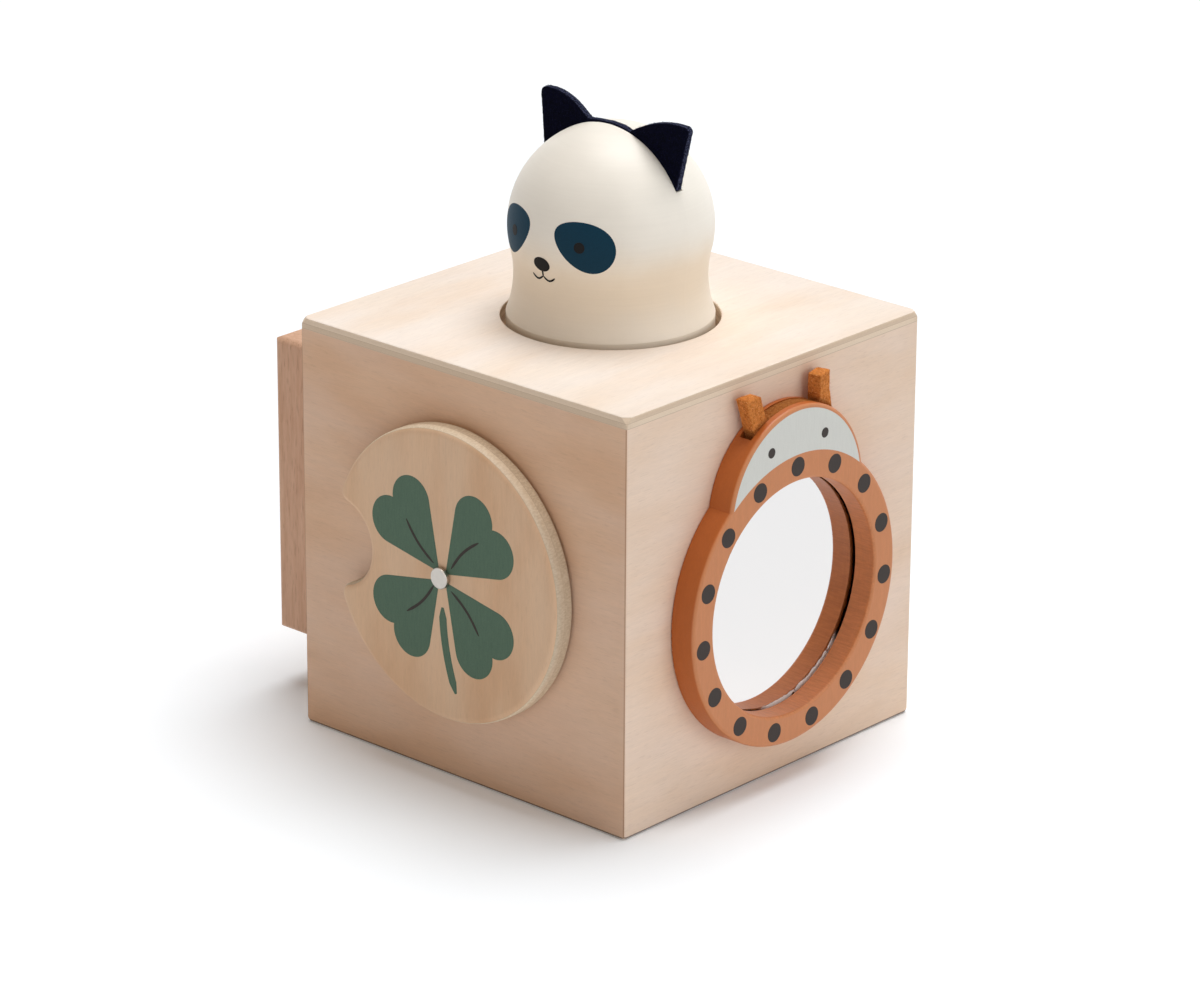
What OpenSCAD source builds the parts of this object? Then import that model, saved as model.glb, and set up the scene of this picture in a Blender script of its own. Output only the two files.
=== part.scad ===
// Wooden activity cube: a plywood box with a spinner disc, a framed mirror, a side
// block and a sprung pop-up head. Millimetres, +Z up, origin in the middle of
// the base. The spinner faces -Y, the mirror +X and the side block -X.

/* [Box] */
// Outer edge length of the box
box_side = 150; // [140:1:180]
// Thickness of the plywood panels
panel_t = 8; // [6:0.5:10]
// Radius of the rounded outer edges
box_edge_r = 0.75; // [0.25:0.25:5]
// Radius of the rounded corners of each face at the top
corner_r = 4.5; // [2:0.25:8]
// Radius of the rounded corners of each face at the base
foot_corner_r = 3; // [2:0.25:8]
// Thickness of the top's lip, which lies on the walls
lip_t = 4; // [2:0.2:5]
// Clearance between the top's opening and the head
hole_gap = 2; // [1:0.25:4]
// Radius of the rounded rim of that opening
hole_edge_r = 0.5; // [0.25:0.25:2]

/* [Spinner] */
// Diameter of the spinner disc
disc_d = 104.6; // [90:0.2:116]
// Thickness of the spinner disc
disc_t = 8; // [6:0.5:10]
// Radius of the disc's rounded front rim
disc_edge_r = 2.5; // [1:0.25:3]
// Radius of the disc's rounded back rim
disc_back_r = 1; // [0.5:0.25:2]
// Height of the disc's axis above the middle of the face
disc_rise = 2; // [-4:0.5:6]
// Radius of the finger notch
notch_r = 15.5; // [12:0.5:18]
// Distance of the notch's centre inside the disc's rim
notch_inset = 2.3; // [0:0.1:4]
// Radius of the notch's two rounded corners
notch_corner_r = 4; // [2:0.5:5]

/* [Spinner pivot] */
// Diameter of the pivot pin's shank
pin_d = 5; // [4:0.5:6]
// Radius of the pin's rounded edges
pin_edge_r = 0.5; // [0.2:0.1:0.8]
// Diameter of the pin's head
pin_head_d = 7.6; // [7.2:0.2:10]
// Height of the pin's head
pin_head_h = 1.8; // [1.6:0.2:5]
// Diameter of the washer between the disc and the panel
spacer_d = 20; // [14:1:30]
// Thickness of that washer
spacer_t = 0.8; // [0.5:0.1:2]
// Diameter of the washer inside the box
washer_d = 14; // [11:0.5:18]
// Thickness of the washer inside the box
washer_t = 1; // [0.8:0.1:2]
// Width of the nut across its flats
nut_w = 9; // [8:0.5:11]
// Height of the nut
nut_h = 5; // [3:0.5:7]

/* [Mirror] */
// Outer diameter of the frame's ring
ring_d = 105.2; // [96:0.2:114]
// Width of the ring
ring_w = 10.6; // [9:0.2:14]
// Depth of the frame
frame_t = 10; // [9:0.5:13]
// Radius of the frame's rounded front edges
frame_edge_r = 1.2; // [0.6:0.1:2]
// Radius of the frame's rounded back edges
frame_back_r = 0.6; // [0.2:0.1:1]
// Distance of the ring's centre below the middle of the face
ring_drop = 7; // [4:0.5:9]
// Radius of the domed head on top of the ring
crown_r = 34.6; // [30:0.2:38]
// Height of the dome's centre above the ring's centre
crown_rise = 34.4; // [30:0.2:38]
// Thickness of the mirror
mirror_t = 1.5; // [1:0.25:3]
// Width by which the mirror is held under the ring
mirror_lap = 3; // [2:0.25:4]

/* [Mirror ears] */
// Thickness of the mirror's felt ears
frame_felt_t = 5; // [3:0.25:5.5]
// Thickness of the frame behind the felt
felt_back_t = 2; // [1.5:0.25:2.5]
// Width of the felt over both ears
felt_w = 42; // [36:0.2:48]
// Width of each ear
felt_ear_w = 7.3; // [5:0.1:10]
// Height of the ears above the dome
felt_ear_h = 7; // [4:0.5:9]
// Depth of the felt's groove below the dome's top
groove_depth = 10; // [9:0.5:14]

/* [Pop-up head] */
// Diameter of the head's dome
head_d = 71; // [68:0.5:72]
// Height of the dome's centre above the box
head_rise = 32.6; // [30:0.2:38]
// Depth of the neck's hollow below the dome's side
neck_inset = 2.1; // [1.2:0.1:4]
// Radius of the neck's hollow curve
neck_curve_r = 39; // [30:1:50]
// How far the foot stands out from the neck
foot_flare = 2.6; // [1.5:0.1:4]
// How far the head can be pushed down
travel = 45; // [30:1:48]
// Width of the flange under the top, which keeps the head in the box
flange_lap = 5; // [3:0.5:9]
// Thickness of the flange
flange_t = 6; // [5:0.5:8]

/* [Head ears] */
// Thickness of the head's felt ears
ear_t = 3; // [2:0.25:4]
// Depth of the saw cut below the dome's top
cut_depth = 17.8; // [14:0.1:20]
// Distance of each ear's rounded tip inside the dome's side
ear_tip_inset = 4.4; // [2:0.1:6]
// Height of the ears' tips above the dome's top
ear_tip_h = 7.2; // [5:0.2:12]
// Radius of each ear's curved inner edge
ear_curve_r = 31.9; // [28:0.1:36]
// Distance of the ear's tip outside the middle of that curve
ear_lean = 1.6; // [0:0.1:3]
// Radius of the ears' rounded tips
ear_tip_r = 2.2; // [1:0.1:3]
// How far the ears sit towards the mirror's side
ear_shift = 1.4; // [0:0.1:3]

/* [Guide] */
// Width of the square guide post
post_w = 16; // [12:0.5:18]
// Depth of the post's socket in the base
socket_depth = 4; // [2:0.5:5]
// Height of the post above the flange at rest
post_lead = 4; // [2:0.5:6]
// Diameter of the spring's wire
wire_d = 1.8; // [1.2:0.1:2.2]
// Diameter of the spring over its wire's centre
spring_d = 32; // [30:0.5:40]
// Number of turns in the spring
spring_turns = 9; // [6:1:12]

/* [Side block] */
// Width and height of the block
block_w = 110; // [90:1:120]
// Depth of the block
block_t = 34; // [24:1:40]
// Radius of the block's rounded edges
block_edge_r = 2.5; // [1:0.25:4]
// Thickness of the block's walls
block_wall = 12; // [10:0.5:16]

/* [Screws] */
// Diameter of the screws' shanks
screw_d = 3; // [2.5:0.1:3.5]
// Diameter of the screws' heads
screw_head_d = 6; // [5:0.2:7]
// Depth to which a screw goes into the piece that it holds
screw_grip = 6; // [4:0.5:7]

/* [Hidden] */
$fn = 96;
// Clearance of a shaft that turns or slides
run_gap = 0.05;
// Clearance of a piece in its seat
seat_gap = 0.1;
// Clearance between pieces that pass each other
pass_gap = 0.3;
// Clearance of the post in the head's bore
bore_gap = 0.7;
// Overlap by which a cutter passes the face that it cuts
past = 1;
// Overlap by which blending arcs cross instead of only touching
arc_overlap = 0.03;
// Gap between the spring's close end turns
spring_end_gap = 0.6;
// Length of a screw's point
screw_point = 2;
// Number of screws around a round piece
ring_screws = 4;
flange_screw_count = 3;

half = box_side / 2;
inner = half - panel_t;
plywood = [0.87, 0.77, 0.67];
disc_wood = [0.85, 0.71, 0.55];
beech = [0.80, 0.62, 0.49];
terracotta = [0.77, 0.50, 0.36];
cream = [0.93, 0.90, 0.84];
rust_felt = [0.72, 0.42, 0.17];
navy_felt = [0.05, 0.05, 0.13];
steel = [0.78, 0.77, 0.75];
nylon = [0.90, 0.90, 0.88];

disc_r = disc_d / 2;
disc_back = spacer_t + run_gap;
disc_front = disc_back + disc_t;
notch_offset = disc_r - notch_inset;
pin_seat = disc_front + pass_gap;
pin_end = panel_t + washer_t + nut_h + past;

ring_r = ring_d / 2;
opening_r = ring_r - ring_w;
mirror_r = opening_r + mirror_lap;
ring_screw_r = (mirror_r + seat_gap + ring_r) / 2;
crown_y = crown_rise - ring_drop;
groove_y = crown_y + crown_r - groove_depth;
groove_w = felt_w + 2 * seat_gap;

head_r = head_d / 2;
neck_r = head_r - neck_inset;
foot_r = neck_r + foot_flare;
hole_r = max(head_r, foot_r) + hole_gap;
flange_r = hole_r + flange_lap;
head_z = box_side + head_rise;
neck_x = neck_r + neck_curve_r;
neck_reach = head_r + neck_curve_r - arc_overlap;
neck_z = head_z - sqrt(pow(neck_reach, 2) - pow(neck_x, 2));
neck_join_z = head_z - (head_z - neck_z) * head_r / neck_reach;
foot_z = box_side - panel_t - pass_gap;
flange_z = foot_z - flange_t;
bore_r = post_w / sqrt(2) + bore_gap;
post_top = foot_z + post_lead;
post_foot = panel_t - socket_depth;
bore_top = post_top + travel + past;
cut_z = head_z + head_r - cut_depth;
cut_w = ear_t + 2 * seat_gap;
flange_screw_r = (bore_r + foot_r) / 2;

ear_band_r = head_r - seat_gap;
ear_foot = [sqrt(pow(head_r, 2) - pow(cut_z - head_z, 2)) - past, cut_z + seat_gap];
ear_tip = [head_r - ear_tip_inset, head_z + head_r + ear_tip_h - ear_tip_r];
ear_curve_rise = sqrt(pow(ear_curve_r - ear_tip_r, 2) - pow(ear_lean, 2));
ear_curve = ear_tip - [ear_lean, ear_curve_rise];

block_screw_at = block_w / 2 - block_wall / 2;

wire_r = wire_d / 2;
spring_low = panel_t + wire_r;
spring_high = flange_z - pass_gap - wire_r;
spring_end_rise = wire_d + spring_end_gap;
spring_sides = 6;
spring_steps = 16;

// Places children on an upright face: x to the right, y up from its middle, z outwards
module on_side(turn) {
    translate([0, 0, half])
        rotate([90, 0, turn])
            translate([0, 0, half])
                children();
}

module on_front() {
    on_side(0) children();
}

module on_mirror_side() {
    on_side(90) children();
}

module on_block_side() {
    on_side(-90) children();
}

// Square corner less its quarter round, which a rounded edge takes away
module corner_waste(r) {
    difference() {
        translate([-r, -r]) square(r + past);
        translate([-r, -r]) circle(r);
        translate([-2 * r, -2 * r]) square([2 * r, r]);
        translate([-2 * r, -2 * r]) square([r, 2 * r]);
    }
}

// Half section of a turned slab with a rounded front rim and a rounded back rim
module slab_section(r, t, front_r, back_r) {
    difference() {
        square([r, t]);
        translate([r, t]) corner_waste(front_r);
        translate([r, 0]) mirror([0, 1]) corner_waste(back_r);
    }
}

module slab(r, t, front_r, back_r) {
    rotate_extrude() slab_section(r, t, front_r, back_r);
}

// Cutter for a round opening through a slab, with a rounded front rim
module opening_cutter(r, t, rim_r) {
    rotate_extrude() {
        translate([0, -past]) square([r, t + 2 * past]);
        difference() {
            translate([0, t - rim_r]) square([r + rim_r, rim_r + past]);
            translate([r + rim_r, t - rim_r]) circle(rim_r);
        }
    }
}

// Countersunk wood screw: its head's face at z = 0, its point along +z
module wood_screw(length) {
    top_r = screw_head_d / 2;
    shank_r = screw_d / 2;
    rotate_extrude()
        polygon([
            [0, 0],
            [top_r, 0],
            [shank_r, top_r - shank_r],
            [shank_r, length - screw_point],
            [0, length]
        ]);
}

// Hole for that screw, with room all round
module screw_hole(length) {
    top_r = screw_head_d / 2 + seat_gap;
    shank_r = screw_d / 2 + seat_gap;
    rotate_extrude()
        polygon([
            [0, -past],
            [top_r, -past],
            [top_r, 0],
            [shank_r, top_r - shank_r],
            [shank_r, length + seat_gap],
            [0, length + seat_gap]
        ]);
}

// Rounds the two outer edges of a panel's section, whose outer face is at y = 0
module rounded_edges() {
    difference() {
        children();
        for (side = [0, 1])
            mirror([side, 0])
                translate([half, 0]) corner_waste(box_edge_r);
    }
}

// Section of a panel that is mitred to its neighbours on both sides
module mitred_section() {
    rounded_edges()
        polygon([[-half, 0], [half, 0], [inner, -panel_t], [-inner, -panel_t]]);
}

// Section up a wall: mitred to the base, cut off level under the top's lip
module wall_section() {
    difference() {
        mitred_section();
        translate([half - lip_t, -panel_t - past]) square([lip_t + past, panel_t + 2 * past]);
    }
}

// Section of the top: a lip on the walls and a plug between them
module top_section() {
    rounded_edges() {
        translate([-half, -lip_t]) square([box_side, lip_t]);
        translate([-inner, -panel_t]) square([2 * inner, panel_t]);
    }
}

// What a rounded corner takes away at [half, half, 0]: a ball through the ends of the corner's
// three edges rounds each face in its own plane
module ball_corner_waste(r) {
    translate([half - r, half - r, -r])
        difference() {
            cube(r + past);
            sphere(r * sqrt(2));
        }
}

// Panel from its sections across x and across y, with its outer face at z = 0 and its corners
// rounded by low_r at -y and by high_r at +y
module panel_form(low_r, high_r) {
    difference() {
        intersection() {
            rotate([90, 0, 0])
                linear_extrude(box_side, center = true) children(0);
            rotate([90, 0, 90])
                linear_extrude(box_side, center = true) children(1);
        }
        for (x = [0, 1]) {
            mirror([x, 0, 0]) ball_corner_waste(high_r);
            mirror([x, 0, 0]) mirror([0, 1, 0]) ball_corner_waste(low_r);
        }
    }
}

module wall() {
    panel_form(foot_corner_r, corner_r) {
        mitred_section();
        wall_section();
    }
}

module front_panel() {
    color(plywood)
        on_front()
            difference() {
                wall();
                translate([0, disc_rise, -panel_t - past])
                    cylinder(h = panel_t + 2 * past, r = pin_d / 2 + seat_gap);
            }
}

module at_ring_screws() {
    for (i = [0 : ring_screws - 1])
        translate([0, -ring_drop, -panel_t])
            rotate((i + 0.5) * 360 / ring_screws)
                translate([ring_screw_r, 0, 0])
                    children();
}

module at_block_screws() {
    for (x = [-1, 1], y = [-1, 1])
        translate([x * block_screw_at, y * block_screw_at, -panel_t])
            children();
}

module mirror_panel() {
    color(plywood)
        on_mirror_side()
            difference() {
                wall();
                at_ring_screws() screw_hole(panel_t + screw_grip);
            }
}

module rear_panel() {
    color(plywood)
        on_side(180) wall();
}

module block_panel() {
    color(plywood)
        on_block_side()
            difference() {
                wall();
                at_block_screws() screw_hole(panel_t + screw_grip);
            }
}

// Takes the lip's four upright edges off flush with the walls' rounded ones
module lip_corners_waste() {
    for (x = [0, 1], y = [0, 1])
        mirror([x, 0, 0]) mirror([0, y, 0])
            translate([half, half, -lip_t - past])
                linear_extrude(lip_t + 2 * past) corner_waste(box_edge_r);
}

module top_panel() {
    color(plywood)
        translate([0, 0, box_side])
            difference() {
                panel_form(corner_r, corner_r) {
                    top_section();
                    top_section();
                }
                lip_corners_waste();
                translate([0, 0, -panel_t]) opening_cutter(hole_r, panel_t, hole_edge_r);
            }
}

module base_panel() {
    color(plywood)
        difference() {
            mirror([0, 0, 1])
                panel_form(foot_corner_r, foot_corner_r) {
                    mitred_section();
                    mitred_section();
                }
            translate([0, 0, post_foot + panel_t / 2])
                cube([post_w + 2 * seat_gap, post_w + 2 * seat_gap, panel_t], center = true);
        }
}

// One rounded corner beside the notch: the tip outside a small rounded slab
module notch_corner_waste() {
    reach = disc_r - notch_corner_r;
    span = notch_r + notch_corner_r;
    x = (pow(reach, 2) - pow(span, 2) + pow(notch_offset, 2)) / (2 * notch_offset);
    y = sqrt(pow(reach, 2) - pow(x, 2));
    centre = [-x, y];
    rim_touch = centre * disc_r / reach;
    notch_centre = [-notch_offset, 0];
    notch_touch = notch_centre + (centre - notch_centre) * notch_r / span;
    tip = 3 * (rim_touch + notch_touch) / 2 - 2 * centre;
    difference() {
        translate([0, 0, -past])
            linear_extrude(disc_t + 2 * past) polygon([centre, rim_touch, tip, notch_touch]);
        translate([centre[0], centre[1], 0])
            slab(notch_corner_r + arc_overlap, disc_t, disc_edge_r, disc_back_r);
    }
}

module spinner_disc() {
    color(disc_wood)
        on_front()
            translate([0, disc_rise, disc_back])
                difference() {
                    slab(disc_r, disc_t, disc_edge_r, disc_back_r);
                    translate([-notch_offset, 0, 0]) opening_cutter(notch_r, disc_t, disc_edge_r);
                    notch_corner_waste();
                    mirror([0, 1, 0]) notch_corner_waste();
                    translate([0, 0, -past])
                        cylinder(h = disc_t + 2 * past, r = pin_d / 2 + run_gap);
                }
}

module ring_plate(outer_d, t) {
    difference() {
        cylinder(h = t, d = outer_d);
        translate([0, 0, -past]) cylinder(h = t + 2 * past, r = pin_d / 2 + seat_gap);
    }
}

module spinner_washer() {
    color(nylon)
        on_front()
            translate([0, disc_rise, 0]) ring_plate(spacer_d, spacer_t);
}

module pivot_pin() {
    color(steel)
        on_front()
            translate([0, disc_rise, 0]) {
                translate([0, 0, pin_seat]) slab(pin_head_d / 2, pin_head_h, pin_edge_r, pin_edge_r);
                translate([0, 0, -pin_end]) cylinder(h = pin_end + pin_seat + past, d = pin_d);
            }
}

module pivot_washer() {
    color(steel)
        on_front()
            translate([0, disc_rise, -panel_t - washer_t]) ring_plate(washer_d, washer_t);
}

module pivot_nut() {
    color(steel)
        on_front()
            translate([0, disc_rise, -panel_t - washer_t - nut_h])
                difference() {
                    cylinder(h = nut_h, d = nut_w / cos(30), $fn = 6);
                    translate([0, 0, -past])
                        cylinder(h = nut_h + 2 * past, r = pin_d / 2 + seat_gap);
                }
}

module mirror_frame() {
    color(terracotta)
        on_mirror_side()
            difference() {
                union() {
                    translate([0, -ring_drop, 0]) slab(ring_r, frame_t, frame_edge_r, frame_back_r);
                    translate([0, crown_y, 0]) slab(crown_r, frame_t, frame_edge_r, frame_back_r);
                }
                translate([0, -ring_drop, 0]) opening_cutter(opening_r, frame_t, frame_edge_r);
                translate([0, -ring_drop, -past]) cylinder(h = mirror_t + past, r = mirror_r + seat_gap);
                translate([-groove_w / 2, groove_y, felt_back_t - seat_gap])
                    cube([groove_w, groove_depth + past, frame_felt_t + 2 * seat_gap]);
                at_ring_screws() screw_hole(panel_t + screw_grip);
            }
}

module mirror_glass() {
    color(steel)
        on_mirror_side()
            translate([0, -ring_drop, 0]) cylinder(h = mirror_t, r = mirror_r);
}

module mirror_ears() {
    band_r = crown_r - seat_gap;
    ear_top = crown_y + crown_r + felt_ear_h;
    floor_y = groove_y + seat_gap;
    color(rust_felt)
        on_mirror_side()
            translate([0, 0, felt_back_t])
                linear_extrude(frame_felt_t) {
                    intersection() {
                        translate([0, crown_y]) circle(band_r);
                        translate([-felt_w / 2, floor_y]) square([felt_w, groove_depth]);
                    }
                    for (side = [-1, 1])
                        translate([side * (felt_w - felt_ear_w) / 2 - felt_ear_w / 2, floor_y])
                            square([felt_ear_w, ear_top - floor_y]);
                }
}

module frame_screws() {
    color(steel)
        on_mirror_side()
            at_ring_screws() wood_screw(panel_t + screw_grip);
}

// Section of the block across its depth, with its two outer edges rounded
module block_section() {
    difference() {
        translate([-block_w / 2, 0]) square([block_w, block_t]);
        for (side = [0, 1])
            mirror([side, 0])
                translate([block_w / 2, block_t]) corner_waste(block_edge_r);
    }
}

// Face of the block, with its four corners rounded
module block_face() {
    difference() {
        square(block_w, center = true);
        for (turn = [0 : 90 : 270])
            rotate(turn)
                translate([block_w / 2, block_w / 2]) corner_waste(block_edge_r);
    }
}

module side_block() {
    pocket = block_w - 2 * block_wall;
    color(beech)
        on_block_side()
            difference() {
                intersection() {
                    rotate([90, 0, 0])
                        linear_extrude(block_w, center = true) block_section();
                    rotate([90, 0, 90])
                        linear_extrude(block_w, center = true) block_section();
                    linear_extrude(block_t) block_face();
                }
                translate([-pocket / 2, -pocket / 2, -past])
                    cube([pocket, pocket, block_t - block_wall + past]);
                at_block_screws() screw_hole(panel_t + screw_grip);
            }
}

module block_screws() {
    color(steel)
        on_block_side()
            at_block_screws() wood_screw(panel_t + screw_grip);
}

// Half section of the turned head: a dome, a hollow neck and a straight foot
module head_section() {
    intersection() {
        difference() {
            union() {
                translate([0, head_z]) circle(head_r);
                translate([0, foot_z]) square([foot_r, neck_join_z - foot_z]);
            }
            translate([neck_x, neck_z]) circle(neck_curve_r);
        }
        translate([0, foot_z]) square([foot_r, head_z + head_r - foot_z + past]);
    }
}

module at_flange_screws() {
    for (i = [0 : flange_screw_count - 1])
        rotate(i * 360 / flange_screw_count)
            translate([flange_screw_r, 0, flange_z])
                children();
}

module popup_head() {
    color(cream)
        difference() {
            rotate_extrude() head_section();
            translate([0, 0, foot_z - past]) cylinder(h = bore_top - foot_z + past, r = bore_r);
            translate([-head_r, -cut_w / 2, cut_z]) cube([head_d, cut_w, head_d]);
            at_flange_screws() screw_hole(flange_t + screw_grip);
        }
}

// One ear in the plane of the saw cut: a curved inner edge, a straight outer edge and a
// round tip that touches both
module ear_outline() {
    reach = norm(ear_tip - ear_foot);
    slope = atan2(ear_tip[1] - ear_foot[1], ear_tip[0] - ear_foot[0]);
    touch = slope - 90 + asin(ear_tip_r / reach);
    outer_touch = ear_tip + ear_tip_r * [cos(touch), sin(touch)];
    inner_touch = ear_curve + (ear_tip - ear_curve) * ear_curve_r / (ear_curve_r - ear_tip_r);
    translate(ear_tip) circle(ear_tip_r);
    intersection() {
        translate(ear_curve) circle(ear_curve_r);
        polygon([[0, ear_foot[1]], ear_foot, outer_touch, ear_tip, inner_touch, [0, inner_touch[1]]]);
    }
}

module head_ears() {
    color(navy_felt)
        translate([0, ear_t / 2, 0])
            rotate([90, 0, 0])
                linear_extrude(ear_t) {
                    intersection() {
                        translate([0, head_z]) circle(ear_band_r);
                        translate([-ear_foot[0], ear_foot[1]]) square([2 * ear_foot[0], head_r]);
                    }
                    for (side = [0, 1])
                        translate([ear_shift, 0]) mirror([side, 0]) ear_outline();
                }
}

module head_flange() {
    color(plywood)
        translate([0, 0, flange_z])
            difference() {
                cylinder(h = flange_t, r = flange_r);
                translate([0, 0, flange_t / 2])
                    cube([post_w + 2 * pass_gap, post_w + 2 * pass_gap, flange_t + 2 * past], center = true);
                translate([0, 0, -flange_z]) at_flange_screws() screw_hole(flange_t + screw_grip);
            }
}

module flange_screws() {
    color(steel)
        at_flange_screws() wood_screw(flange_t + screw_grip);
}

module guide_post() {
    color(beech)
        translate([-post_w / 2, -post_w / 2, post_foot]) cube([post_w, post_w, post_top - post_foot]);
}

// Height of the spring's wire after some turns: close end turns, an even pitch between them
function spring_z(turns) =
    turns < 1 ? spring_low + turns * spring_end_rise
    : turns > spring_turns - 1 ? spring_high - (spring_turns - turns) * spring_end_rise
    : spring_low + spring_end_rise
        + (turns - 1) * (spring_high - spring_low - 2 * spring_end_rise) / (spring_turns - 2);

function spring_point(turns) =
    [spring_d / 2 * cos(360 * turns), spring_d / 2 * sin(360 * turns), spring_z(turns)];

spring_count = spring_turns * spring_steps;
spring_path = [for (i = [0 : spring_count]) spring_point(i / spring_steps)];
spring_gap = min([
    for (i = [0 : spring_count], j = [i + spring_steps / 2 : spring_count])
        norm(spring_path[i] - spring_path[j]) - wire_d
]);
echo(spring_least_gap = spring_gap);

module spring() {
    rings = [
        for (i = [0 : spring_count], k = [0 : spring_sides - 1])
            let (turn = 360 * i / spring_steps, around = 360 * k / spring_sides)
            spring_path[i] + wire_r * [cos(turn) * cos(around), sin(turn) * cos(around), sin(around)]
    ];
    walls = [
        for (i = [0 : spring_count - 1], k = [0 : spring_sides - 1], half_face = [0, 1])
            let (
                a = i * spring_sides + k,
                b = i * spring_sides + (k + 1) % spring_sides,
                c = a + spring_sides,
                d = b + spring_sides
            )
            half_face == 0 ? [a, b, c] : [b, d, c]
    ];
    first_cap = [for (k = [1 : spring_sides - 2]) [0, k + 1, k]];
    last = spring_count * spring_sides;
    last_cap = [for (k = [1 : spring_sides - 2]) [last, last + k, last + k + 1]];
    color(steel)
        polyhedron(points = rings, faces = concat(walls, first_cap, last_cap));
}

front_panel();
mirror_panel();
rear_panel();
block_panel();
top_panel();
base_panel();
spinner_disc();
spinner_washer();
pivot_pin();
pivot_washer();
pivot_nut();
mirror_frame();
mirror_glass();
mirror_ears();
frame_screws();
side_block();
block_screws();
popup_head();
head_ears();
head_flange();
flange_screws();
guide_post();
spring();
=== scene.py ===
# Looks of a wooden activity cube around its CAD frame: a plywood box with a spinner disc, a framed
# mirror, a side block and a sprung pop-up head. Metres, in the frame's own axes.
import math
import random

import bmesh
import bpy
from mathutils import Matrix, Vector, noise
from mathutils.bvhtree import BVHTree


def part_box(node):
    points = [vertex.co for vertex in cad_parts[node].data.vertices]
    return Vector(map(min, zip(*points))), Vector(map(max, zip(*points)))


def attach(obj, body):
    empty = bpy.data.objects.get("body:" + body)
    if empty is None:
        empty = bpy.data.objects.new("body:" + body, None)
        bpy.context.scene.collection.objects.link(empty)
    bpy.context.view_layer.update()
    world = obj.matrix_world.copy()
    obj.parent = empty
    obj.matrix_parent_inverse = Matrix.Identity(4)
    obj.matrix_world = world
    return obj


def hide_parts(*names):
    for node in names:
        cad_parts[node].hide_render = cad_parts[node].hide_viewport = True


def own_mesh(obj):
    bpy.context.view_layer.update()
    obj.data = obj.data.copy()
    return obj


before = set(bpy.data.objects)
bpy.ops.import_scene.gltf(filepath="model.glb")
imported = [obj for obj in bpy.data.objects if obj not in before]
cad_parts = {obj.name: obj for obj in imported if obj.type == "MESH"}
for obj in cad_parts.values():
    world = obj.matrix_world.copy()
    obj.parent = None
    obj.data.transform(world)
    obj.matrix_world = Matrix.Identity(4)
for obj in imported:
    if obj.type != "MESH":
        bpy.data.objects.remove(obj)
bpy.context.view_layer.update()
MM = 0.001

# Camera at the photograph's viewing angle: angles in degrees, lens and sensor in millimetres
CAMERA_PLACE = Vector((1.14804, -1.27598, 0.73613))
CAMERA_AZIMUTH = 42.088
CAMERA_ELEVATION = 20.879
CAMERA_ROLL = 0.307
CAMERA_LENS = 158.54
CAMERA_SENSOR = 36.0

# Light: where each lamp shines from, its strength and its width in degrees
KEY_FROM = (-0.04, 0.25, 0.967)
KEY_STRENGTH = 2.60
KEY_SPREAD = 42
RIGHT_FROM = (0.95, 0.12, 0.22)
RIGHT_STRENGTH = 1.02
RIGHT_SPREAD = 60
LEFT_FROM = (-0.08, -0.86, 0.50)
LEFT_STRENGTH = 0.26
LEFT_SPREAD = 60
LEFT_TINT = (1.0, 0.74, 0.50)
AMBIENT = 0.11
AMBIENT_TINT = (1.0, 0.95, 0.89, 1.0)
WHITE = (1.0, 1.0, 1.0, 1.0)

# Floor
FLOOR_REACH = 6.0
FLOOR_SUNK = 0.3 * MM
FLOOR_ALBEDO = (0.92, 0.96, 1.0, 1.0)
FLOOR_ROUGHNESS = 0.9
FLOOR_SEEN = 0.10

# Places that the frame gives
TOP_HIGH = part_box("top_panel")[1]
HALF = TOP_HIGH.x
BOX_TOP = TOP_HIGH.z
PIN_LOW, PIN_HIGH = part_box("pivot_pin")
DISC_AXIS = (PIN_LOW + PIN_HIGH) / 2
DISC_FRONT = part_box("spinner_disc")[0].y
FRAME_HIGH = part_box("mirror_frame")[1]
FRAME_FRONT = FRAME_HIGH.x
GLASS_LOW, GLASS_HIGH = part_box("mirror_glass")
RING_CENTRE = (GLASS_LOW + GLASS_HIGH) / 2
HEAD_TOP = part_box("popup_head")[1].z
TAB_LOW, TAB_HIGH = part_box("mirror_ears")
EAR_LOW, EAR_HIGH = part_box("head_ears")

# Round forms of the CAD pieces that prints, paint and felt follow
HEAD_R = 35.5 * MM
HEAD_CENTRE = Vector((0, 0, HEAD_TOP - HEAD_R))
CROWN_R = 34.6 * MM
CROWN_CENTRE = Vector((FRAME_FRONT, 0, FRAME_HIGH.z - CROWN_R))
OPENING_R = 42 * MM


def srgb(red, green, blue):
    """Linear colour of an sRGB triple from 0 to 255."""
    def linear(value):
        share = value / 255
        return share / 12.92 if share <= 0.04045 else ((share + 0.055) / 1.055) ** 2.4
    return (linear(red), linear(green), linear(blue), 1.0)


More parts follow.
